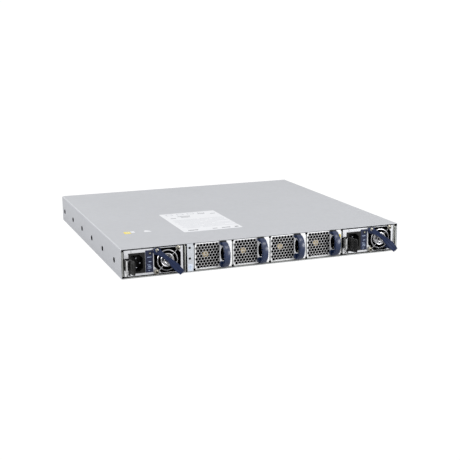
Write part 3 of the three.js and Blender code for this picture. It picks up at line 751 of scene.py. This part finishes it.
def recess_cup(fan_x, fan_z, bore):
    """A finger cup behind the recess, and the shroud in front of the fan, both in flat black as painted shade
    inside the module.
    """
    back = patch((39.6, 56), (11.6, 34.2), 2, (9.4, 10.2), "y", 0.1)
    walls = [slab((39.6, 56), (0.8, 9.6), z, 0.1) for z in ((33.4, 34.2), (11.6, 12.4))]
    walls.append(slab((49.2, 50), (0.8, 9.6), (12, 34), 0.1))
    mouth = disc((0, 20), bore, (fan_x, 0, fan_z), "y", 48)
    shroud = cut(slab((1.0, 38.6), (7.9, 8.4), (3.8, 40.9), 0.1), [mouth])
    return coated([back] + walls + [shroud], PAINTED_SHADE)


def bow_handle():
    """A bowed strap between two broad feet. Its section is a rounded rectangle, deepest at the crown."""
    z0, z1 = 3.2, 41.0
    middle, half = (z0 + z1) / 2, (z1 - z0) / 2 - 1.2
    steps, rise, power = 32, 12.2, 1.2
    rings = []
    for i in range(steps + 1):
        a = pi * (0.015 + 0.97 * i / steps)
        t = sin(a)
        centre = Vector((0, -1.6 - rise * t ** power, middle - half * cos(a)))
        slope = rise * power * t ** (power - 1) * cos(a)
        tangent = Vector((0, -slope, half * t)).normalized()
        outward = Vector((0, -tangent.z, tangent.y))
        width = (40.3 - 0.8 * (1 - t) ** 2, 48.9 - 1.2 * (1 - t) ** 2)
        thick = 1.5 + 1.7 * t
        rings.append([Vector((u, 0, 0)) + centre + outward * v
                      for u, v in rounded(width, (-thick, thick), 1.4, 3)])
    lower = [(48.2, 2.8), (48.2, 12.2), (42.0, 12.3)] + bezier((40.2, 12.3), (37.0, 12.0), (36.9, 8.6), 5)
    lower += bezier((36.9, 8.6), (36.8, 3.4), (42.6, 2.8), 6)[1:]
    upper = [(48.2, 41.4), (38.0, 41.4)] + bezier((37.0, 40.6), (36.6, 37.6), (39.4, 36.2), 5)
    upper += [(42.0, 34.6), (48.2, 34.4)]
    feet = [plate([outline], (-2.4, -0.1), "y", 0.5) for outline in (lower, upper)]
    # The top tab is black rather than navy: painted shade where the handle's top foot lies in shadow.
    tab = slab((37.4, 47.6), (-3.0, 0.4), (z1 - 0.3, z1 + 1.3), 0.3, 2)
    return coated([loft(rings)] + feet, NAVY_GLOSS) + [(tab, BLACK)]


def pan_screw(x, y, z, radius):
    """A pan-head screw facing -Y, with a deep star recess whose floor is a black disc of painted shade."""
    head = turned([(y, 0), (y, radius), (y - 0.5, radius), (y - 1.2, radius * 0.8), (y - 1.6, radius * 0.4),
                   (y - 1.7, 0)], (x, 0, z), "y", 24)
    star = []
    for k in range(12):
        a, r = radians(30 * k), radius * (0.5 if k % 2 else 0.36)
        star.append((x + r * cos(a), z + r * sin(a)))
    socket = plate([star], (y - 2.2, y - 0.5), "y", 0.02)
    floor = disc((y - 0.62, y - 0.4), radius * 0.6, (x, 0, z), "y", 16)
    return [(cut(head, [socket]), SCREW), (floor, PAINTED_SHADE)]


def fan_modules():
    x, y, _ = mm_box("fan_1_carrier")
    fan_x, fan_y, fan_z = mm_box("fan_1_frame")
    centre_x, centre_z = sum(fan_x) / 2 - x[0], sum(fan_z) / 2
    size, front = fan_x[1] - fan_x[0], fan_y[0] - y[0]
    bore = size / 2 - WALL
    tray = fan_face() + fan_carrier_body(y[1] - y[0])
    cup = recess_cup(centre_x, centre_z, bore)
    bow = bow_handle()
    screws = pan_screw(47.3, 6.8, 13.4, 1.7) + pan_screw(47.0, 6.8, 19.4, 1.2)
    housing = fan_housing(centre_x, centre_z, size, bore, front, fan_y[1] - fan_y[0])
    impeller = fan_blades(centre_x, centre_z, bore - 0.8, HUB_R, front + 2, 18, 7, 0.6)
    impeller += tan_hub(centre_x, centre_z, front + 2.6, 4.4)
    # The spring latch is in flat black: painted shade where it sits in the recess.
    latch = coated([slab((41.0, 41.8), (-1.2, 8.6), (17, 29), 0.25, 2),
                    slab((41.0, 43.2), (3.4, 4.4), (17, 29), 0.25, 2)], PAINTED_SHADE)
    dot = patch((52.9, 56.2), (29.5, 34.8), 0.5, (-0.1, 0))
    for name in FAN_NAMES:
        module(name, "carrier", [
            ("tray", tray, ["carrier"], "bright_steel"),
            ("finger_cup", cup, [], "black_plastic"),
            ("cup_screws", screws, [], None),
            ("housing", housing, ["frame"], "fan_plastic"),
            ("impeller", impeller, ["rotor"], "fan_plastic"),
            ("bow", bow, ["handle"], "navy_plastic"),
            ("spring_latch", latch, ["latch"], "sheet_steel"),
        ])
    module("fan_4", "carrier", [("dot_label", [(dot, LABEL_YELLOW)], [], None)])


# ---- power supplies ----

PSU_W = 85.5
PSU_Z = (2.2, 41.4)
PSU_FAR = 212
FAN_X, FAN_Z, SCREW_STEP, SCREW_RISE = 63.6, 21.6, 16, 16.8
INLET_X, INLET_Z = (6.4, 30.4), (6.5, 36.3)
LATCH_X, LATCH_Z, LATCH_REACH = (5.3, 7.0), (9.5, 25.5), 35.5


def psu_face():
    """Face plate with an octagonal fan aperture, the inlet window and a slot for the latch leaf."""
    left, right, low, high = -0.3, PSU_W + 0.9, 3.1, 40.9
    outline = [(left, low), (left, 12.4), (2.4, 12.4), (2.4, 26.0), (7.0, 26.0), (7.0, 29.2), (left, 29.2),
               (left, high), (right, high), (right, low)]
    inlet = rounded((INLET_X[0] + 1.4, INLET_X[1] - 1), (INLET_Z[0] + 1, INLET_Z[1] - 1), 1)
    slot = rounded((LATCH_X[0] - 0.6, INLET_X[0] + 1.2), (LATCH_Z[0] + 2, LATCH_Z[1] - 2), 0.3)
    west, east, base, top = FAN_X - 20.2, FAN_X + 19.6, 3.7, 40.1
    aperture = [(east, base + 8), (east, top - 8.6), (east - 8.6, top), (west + 8, top), (west, top - 8),
                (west, base + 10.5), (west + 10.5, base), (east - 8, base)]
    face = plate([outline, aperture, inlet, slot], (0, 1))
    seam = slab((INLET_X[0] + 3.7, INLET_X[0] + 4.2), (-0.15, 0.2), (36.6, high - 0.2), 0.05)
    # The foot is in the whiter fan face steel: painted light on this lower corner of the face.
    foot = slab((0.1, 5.2), (-0.8, -0.05), (3.5, 12.2), 0.25, 2)
    return [(face, BRIGHT), (seam, PAINTED_SHADE), (foot, FAN_STEEL)]


def psu_case_shell():
    """Folded sheet case with rivets along its seams, vents at its far end, and black sheets of painted shade
    in the gaps around its face and behind its fan aperture.
    """
    z0, z1 = PSU_Z
    walls = [slab(x, (1.3, PSU_FAR), PSU_Z, 0.2) for x in ((0, 0.8), (PSU_W - 0.8, PSU_W))]
    walls += [slab((0.5, PSU_W - 0.5), (start, PSU_FAR), z, 0.2)
              for start, z in ((1.3, (z0, z0 + 0.8)), (2.5, (z1 - 0.8, z1)))]
    vents = [hexagon((8 + k * 6.1 + (j % 2) * 3.05, 21 + j * 5.3), 2.6) for j in range(4) for k in range(12)]
    mouth = rounded((25, 60), (10.5, 15.5), 0.8)
    end = plate([rounded((0.5, PSU_W - 0.5), (z0 + 0.5, z1 - 0.5), 0.5), mouth] + vents,
                (PSU_FAR - 0.8, PSU_FAR), "y", 0.1)
    dome = [(z1 - 0.1, 0), (z1 - 0.1, 1.7), (z1 + 0.1, 1.5), (z1 + 0.22, 0.8), (z1 + 0.24, 0)]
    rivets = [turned(dome, (x, y, 0), "z", 16) for y in (12, 60, 110, 160, 204) for x in (8, PSU_W - 8)]
    dark = [slab((-1.2, 7.6), (1.02, 1.25), (3.0, 40.6), 0.05),
            slab((0.2, PSU_W - 0.2), (0.6, 1.2), (2.0, 2.9), 0.05),
            slab((-1.6, PSU_W - 0.2), (0.5, 2.0), (40.4, 42.1), 0.05),
            plate([rounded((43.0, 84.6), (3.2, 40.4), 0.5), circle((FAN_X, FAN_Z), 17.5, 48)], (1.1, 1.5),
                  "y", 0.05)]
    return coated(walls + [end], TRAY) + coated(rivets, SCREW) + coated(dark, PAINTED_SHADE)


def psu_inlet():
    """Mains inlet: a flange and a keyed well with three blades."""
    x0, z0 = sum(INLET_X) / 2, sum(INLET_Z) / 2
    w, h, key, wall = 8.35, 12.2, 5, 0.9
    well = [(x0 - w, z0 - h), (x0 + w - key, z0 - h), (x0 + w, z0 - h + key), (x0 + w, z0 + h - key),
            (x0 + w - key, z0 + h), (x0 - w, z0 + h)]
    step, ledge = INLET_X[0] + 1.9, LATCH_Z[1] + 2
    edge = [(step, INLET_Z[0]), (INLET_X[1], INLET_Z[0]), (INLET_X[1], INLET_Z[1]), (INLET_X[0], INLET_Z[1]),
            (INLET_X[0], ledge), (step, ledge)]
    flange = plate([edge, well], (-0.9, -0.1), "y", 0.25)
    outer = [(x0 + a * (w + wall), z0 + b * (h + wall)) for a, b in ((-1, -1), (1, -1), (1, 1), (-1, 1))]
    lip_well = [(x0 + (a - x0) * 1.09, z0 + (b - z0) * 1.06) for a, b in well]
    lip = plate([lip_well, well], (-1.3, -0.6), "y", 0.2)
    sleeve = plate([outer, well], (-0.6, 16), "y", 0.1)
    floor = plate([outer], (15.5, 17), "y", 0.1)
    blades = [slab((x0 + a - 0.9, x0 + a + 0.9), (front, 16), (z0 + b - 0.8, z0 + b + 0.8), 0.3, 2)
              for a, b, front in ((-0.6, 6.3, 3.0), (-0.2, -7.2, 3.0), (4.6, -0.8, 2.0))]
    return coated([flange, lip, sleeve, floor], BLACK) + coated(blades, PIN)


def psu_label(x0):
    """Navy strip with a status light and plain bars, from x0."""
    x1 = x0 + 11.2
    back = patch((x0, x1), (6.2, 38.6), 0.5, (-0.22, 0), "y", 0.04)
    window = patch((x1 - 6.4, x1 - 2.4), (31.8, 36.2), 0.5, (-0.3, -0.2), "y", 0.03)
    lens = [(-0.2, 0), (-0.2, 1.0), (-0.6, 0.9), (-0.85, 0.5), (-0.9, 0)]
    light = turned(lens, (x1 - 4.3, 0, 34.0), "y", 20)
    bars = [patch((x0 + a, x0 + b), (z, z + thick), 0.25, (-0.28, -0.2))
            for z, a, b, thick in ((27.9, 2.8, 8.8, 1.1), (21.2, 4.4, 8.4, 1.3), (17.0, 2.4, 7.0, 0.8),
                                   (14.4, 3.6, 8.2, 1.5), (12.2, 2.8, 8.6, 1.0), (8.6, 4.0, 6.2, 1.1))]
    return [(back, LABEL_NAVY), (window, BLACK), (light, LED_OFF)] + coated(bars, LABEL_MARK)


def guard_wires():
    """Three rings on two diagonal wires, and loops around two of the fan screws."""
    y, x, z = -1.3, FAN_X - 0.7, FAN_Z + 0.5
    parts = [ring((x, y - 0.1, z), radius, thick) for radius, thick in ((14.7, 0.85), (9.1, 1.0), (4.6, 0.6))]
    y += 0.5
    across, rise = SCREW_STEP - 2.2, SCREW_RISE - 2.3
    for b in (rise, -rise):
        parts.append(wire([(FAN_X - across, y, FAN_Z - b), (FAN_X + across, y, FAN_Z + b)], 0.6))
    for a in (1, -1):
        parts.append(ring((FAN_X + a * SCREW_STEP, y, FAN_Z + a * SCREW_RISE), 2.5, 0.6, 28, 8))
    return coated(parts, CHROME)


def strap_handle():
    """A strap from the upper left fan screw that rises towards the lower right and turns back to the face.

    It is drawn along its length s and its rise p, then turned to the fan's diagonal."""
    span = SCREW_STEP * sqrt(2)
    half_width, end = 4.3, span + 0.3
    crown = bezier((-span + 2, 4.2), (-span + 11, 25.5), (span - 6, 26.2), 14)
    crown += bezier((span - 6, 26.2), (end, 25.4), (end, 14.6), 6)[1:]
    side = [(-span - 3.5, 0.4), (-span - 3.5, 3.2)] + crown
    side += [(end, 8), (end, 0.6), (span - 9, 0.6), (span - 8.4, 7)]
    side += bezier((span - 8.4, 9), (span - 8.4, 20.6), (span - 14, 20.4), 7)[1:]
    side += bezier((span - 14, 20.4), (-span + 17, 19.0), (-span + 6.5, 2.6), 14)[1:]
    side += [(-span + 3.6, 0.4)]
    strap = [plate([side], (-half_width, half_width), "z", 0.8)]
    ridge = [(s, p + 0.55) for s, p in crown[2:]] + [(s - 0.5, p - 0.8) for s, p in reversed(crown[2:])]
    strap += [plate([ridge], across, "z", 0.25) for across in ((-4.2, -3.2), (3.2, 4.2), (-0.4, 0.4))]
    low, high = 5.6, 40.8
    quarter = sqrt(0.5)
    for bm in strap:
        for v in bm.verts:
            s, p, w = v.co
            lower = -4.3 + 3.0 * exp(-((s + 8.5) / 7.5) ** 2)
            upper = 3.9 + 1.7 * exp(-((s - 5) / 9) ** 2)
            w = lower + (w + half_width) / (2 * half_width) * (upper - lower)
            z = FAN_Z + (w - s) * quarter
            v.co = (FAN_X + (s + w) * quarter, -0.5 - p, min(max(z, low), high))
    boss = turned([(-0.2, 0), (-0.2, 6.2), (-2.6, 6.2), (-3.2, 5.6), (-3.2, 0)],
                  (FAN_X - SCREW_STEP, 0, FAN_Z + SCREW_RISE - 1.6), "y", 8)
    for v in boss.verts:
        v.co.z = min(v.co.z, high)
    return coated(strap + [boss], NAVY)


def latch_parts():
    """A steel leaf whose turned edge stands in front of the face, beside a black thumb tab."""
    x0, x1 = LATCH_X
    low, high = LATCH_Z
    tip = -LATCH_REACH
    outline = [(-1.7, low - 3.3), (-3.4, low - 3.3), (-8, low), (tip + 7.5, low + 2.2)]
    outline += arc((tip + 4.4, low + 7.4), 4.4, 275, 180, 5) + arc((tip + 2.2, high + 5.1), 2.2, 180, 92, 5)
    outline += [(-11, high + 5.4), (-3.4, high + 1.4), (-1.7, high)]
    tab = plate([outline], (x0, x1), "x", 0.45)
    rim = plate([[(-4, 8.4), (-8.5, 11), (tip + 6.6, 13.2), (tip + 1.6, 18.2), (tip + 1.6, 30.2),
                  (tip + 3, 31.6), (-11, 29.6), (-4, 25.8)],
                 [(-4.9, 9.6), (-8.9, 12), (tip + 6.9, 14.2), (tip + 2.5, 18.6), (tip + 2.5, 29.8),
                  (tip + 3.4, 30.7), (-11.3, 28.8), (-4.9, 25.2)]], (x0 - 0.35, x0 + 0.2), "x", 0.1)
    ribs = [slab((x0 - 0.35, x1 + 0.35), (y, y + 0.9), (16.5, 28), 0.2) for y in (-30, -27.5, -25)]
    arm = patch((-10.4, 1.5), (12.9, 28.4), 1.2, (0.5, 1.1), "x", 0.1)
    turn = slab((0.5, 2.3), (-10.7, -10.0), (12.6, 27.6), 0.25, 2)
    bridge = slab((0.5, x0 + 0.4), (-2.4, -1.7), (13.4, 25), 0.15)
    leaf = slab((x0 + 0.3, x1 - 0.5), (-2.6, 15.8), (low + 3, high - 3), 0.2)
    lug = slab((x0 + 0.6, x1 + 0.9), (-4.0, -1.5), (low - 4.6, low - 2.4), 0.6, 3)
    loop = wire([(x0 - 0.2, -1.8, low - 3.6), (x0 - 1.6, -1.9, low - 4.6), (x0 - 2.4, -1.9, low - 6)], 0.4)
    # The turned edge is in the whiter fan face steel: a painted highlight along its lit edge.
    steel = [(arm, PORT), (turn, FAN_STEEL), (bridge, PORT), (leaf, PORT)]
    return coated([tab, rim, lug, loop] + ribs, BLACK) + steel


def psu_circuit():
    """Power board with its transformer, coils, capacitors and heat sinks, and the gold-edged tab."""
    top = 13.8
    boards = [slab((3, PSU_W - 3), (34, PSU_FAR - 2), (12.2, top), 0.1),
              slab((27, 58), (PSU_FAR - 4, PSU_FAR + 8), (12.2, top), 0.2)]
    fingers = [slab((x, x + 1.4), (PSU_FAR + 1, PSU_FAR + 7.6), (top - 0.02, top + 0.1), 0.02)
               for x in (28.2 + 2.1 * k for k in range(14))]
    parts = coated(boards, BOARD) + coated(fingers, GOLD)
    for x, y, r, height in ((18, 122, 9, 26), (18, 142, 9, 26), (56, 178, 5, 15), (68, 178, 5, 15),
                            (56, 190, 5, 15)):
        foot = top - 0.1
        end = foot + height
        sleeve = [(foot, 0), (foot, r), (end - 1, r), (end, r - 1), (end, 0)]
        lid = [(end, 0), (end, r - 1.4), (end + 0.1, r - 1.6), (end + 0.1, 0)]
        parts += [(turned(shape, (x, y, 0), "z", 28), material)
                  for shape, material in ((sleeve, CAPACITOR), (lid, SCREW))]
    coil = [(-9, 0), (-9, 8.5), (-8, 9.5), (8, 9.5), (9, 8.5), (9, 0)]
    parts += [(slab((48, 74), (124, 148), (top, 34), 0.8, 2), CREAM),
              (turned(coil, (61, 136, 24), "x", 28), COPPER)]
    fins = [slab((x, x + 1), (70, 84), (top, 37), 0.1) for x in range(8, 80, 8)]
    parts += coated(fins + [slab((8, 73), (76, 78), (top, 36), 0.2)], FINS)
    return parts + coated([slab((10, 30), (40, 62), (top, 34), 1, 2),
                           slab((12, 38), (160, 190), (top, 25), 0.6, 2)], BLACK)


def power_supplies():
    x, y, _ = mm_box("psu_left_fan_frame")
    size, front = x[1] - x[0], y[0] - mm_box("psu_left_faceplate")[1][0]
    bore = size / 2 - WALL
    housing = fan_housing(FAN_X, FAN_Z, size, bore, front, y[1] - y[0])
    impeller = fan_blades(FAN_X, FAN_Z, bore - 0.8, HUB_R, front + 2, 18, 7)
    impeller += silver_hub(FAN_X, FAN_Z, front + 2, 9.4)
    screws = []
    for a, b, level, radius in ((15.3, 17.0, -1.9, 3.6), (-17.2, -15.2, -1.9, 3.8), (-16, 16.2, -3.2, 3.0)):
        screws += pan_screw(FAN_X + a, level, FAN_Z + b, radius)
    for name, label_x in (("psu_left", 30.9), ("psu_right", 30.2)):
        module(name, "faceplate", [
            ("front", psu_face(), ["faceplate"], "bright_steel"),
            ("shell", psu_case_shell(), ["case"], "sheet_steel"),
            ("socket", psu_inlet(), ["inlet", "inlet_pins"], "black_plastic"),
            ("side_label", psu_label(label_x), [], None),
            ("guard_wires", guard_wires(), ["fan_guard"], "chrome_wire"),
            ("strap", strap_handle(), ["handle"], "navy_plastic"),
            ("thumb_latch", latch_parts(), ["latch"], "black_plastic"),
            ("circuit", psu_circuit(), ["board"], "circuit_board"),
            ("fan_housing", housing, ["fan_frame"], "fan_plastic"),
            ("impeller", impeller, ["fan_rotor"], "fan_plastic"),
            ("fan_screws", screws, [], "chrome_wire"),
        ])


# ---- port side ----

def port_panel():
    """Port panel with windows for the cages and ports, and a field of hexagonal vents."""
    x, y, z = mm_box("front_panel")
    windows = []
    for node in ("sfp_cage_left", "sfp_cage_right", "qsfp_cage", "network_jack", "usb_port"):
        across, _, up = mm_box(node)
        windows.append(rounded((across[0] - 0.3, across[1] + 0.3), (up[0] - 0.1, up[1] + 0.3), 0.3))
    pitch = 5.6
    columns = int((mm_box("qsfp_cage")[0][0] - 10 - x[0] - 8) / pitch)
    vents = [hexagon((x[0] + 8 + (k + (j % 2) / 2) * pitch, 8 + j * pitch * 0.866), 2.7)
             for j in range(7) for k in range(columns - (j % 2))]
    panel = plate([rounded(x, z, 0.5)] + windows + vents, y, "y", 0.1)
    piece("port_panel", "chassis", WORLD, [(panel, BRIGHT)], ["front_panel"])


def port_lights():
    """Pairs of small link lights in every cage bank, and two status lights by the console port."""
    y = mm_box("front_panel")[1][1]
    parts = []
    for node, columns in (("sfp_cage_left", 6), ("sfp_cage_right", 6), ("qsfp_cage", 2)):
        x, _, z = mm_box(node)
        middle = sum(z) / 2
        pitch = (x[1] - x[0]) / columns
        for k in range(columns):
            for side in (-1, 1):
                at = x[0] + pitch * (k + 0.5 + side * 0.22)
                mark = [(at + side * 1.1, middle + side * 0.7), (at - side * 1.1, middle + side * 0.7),
                        (at, middle - side * 0.8)]
                parts.append((plate([mark], (y - 0.1, y + 0.12), "y", 0.02), LED_OFF if k % 3 else LED_GREEN))
    console = sum(mm_box("usb_port")[0]) / 2
    lens = [(-0.2, 0), (-0.2, 1.1), (0.3, 1.0), (0.45, 0.5), (0.5, 0)]
    lights = [turned(lens, (console + step, y, middle + 6), "y", 20) for step in (-2.5, 2.5)]
    parts += coated(lights, LED_GREEN)
    piece("port_lights", "chassis", WORLD, parts)


def quiet_nodes():
    """CAD nodes that keep their shape and get a finish."""
    looks = {
        "base_tray": TRAY, "main_board": BOARD, "memory_module": BOARD, "fan_board": BOARD,
        "sfp_cage_left": PORT, "sfp_cage_right": PORT, "qsfp_cage": PORT, "network_jack": PORT,
        "usb_port": PORT, "switch_heatsink": FINS, "cpu_heatsink": FINS,
        "switch_chip": BLACK, "psu_socket_left": BLACK, "psu_socket_right": BLACK,
    }
    for node, material in looks.items():
        NODES[node].data.materials.clear()
        NODES[node].data.materials.append(material)


# ---- studio ----

def area_light(name, location, target, size, power):
    data = bpy.data.lights.new(name, "AREA")
    data.shape = "RECTANGLE"
    data.size, data.size_y = size
    data.energy = power
    light = linked(name, data)
    light.location = location
    light.rotation_euler = (Vector(target) - Vector(location)).to_track_quat("-Z", "Y").to_euler()


def studio():
    bm = bmesh.new()
    bmesh.ops.create_grid(bm, x_segments=8, y_segments=8, size=12)
    floor = as_object("floor", bm)
    floor.location.z = -0.0002
    floor.data.materials.append(FLOOR)
    world = bpy.data.worlds.new("studio")
    world.use_nodes = True
    nodes, links = world.node_tree.nodes, world.node_tree.links
    background = nodes["Background"]
    background.inputs["Color"].default_value = rgb(1, 1, 1)
    seen, strength = nodes.new("ShaderNodeLightPath"), nodes.new("ShaderNodeMapRange")
    strength.inputs["To Min"].default_value = 0.85
    strength.inputs["To Max"].default_value = 1.05
    links.new(seen.outputs["Is Camera Ray"], strength.inputs["Value"])
    links.new(strength.outputs["Result"], background.inputs["Strength"])
    bpy.context.scene.world = world
    area_light("key", (0.7, -1.4, 2.1), (0, 0, 0), (1.2, 0.8), 12)
    area_light("side", (-1.9, -0.3, 0.6), (-0.2, 0, 0), (0.9, 0.7), 12)
    area_light("fill", (1.2, -1.7, 0.45), (0.1, -0.2, 0), (0.9, 0.7), 16)
    area_light("rim", (-0.75, 2.5, 1.1), (-0.15, 0, 0), (0.9, 0.3), 5.5)
    bpy.context.scene.view_settings.view_transform = "Standard"


def camera():
    """Looks at the power and fan side from its left and a little above."""
    data = bpy.data.cameras.new("camera")
    data.lens, data.sensor_width = 74.3, 36
    data.clip_start, data.clip_end = 0.05, 60
    azimuth, drop, roll = [radians(angle) for angle in (20.34, 12.83, 0.576)]
    turn = (Matrix.Rotation(-azimuth, 4, "Z") @ Matrix.Rotation(pi / 2 - drop, 4, "X")
            @ Matrix.Rotation(-roll, 4, "Z"))
    holder = linked("camera", data)
    holder.matrix_world = Matrix.Translation((-0.5229, -1.4732, 0.3625)) @ turn
    bpy.context.scene.camera = holder


top_cover()
cover_labels()
rear_sheet()
ground_pad()
corner_relief_shade()
psu_bay_walls()
fan_modules()
power_supplies()
port_panel()
port_lights()
quiet_nodes()
studio()
camera()
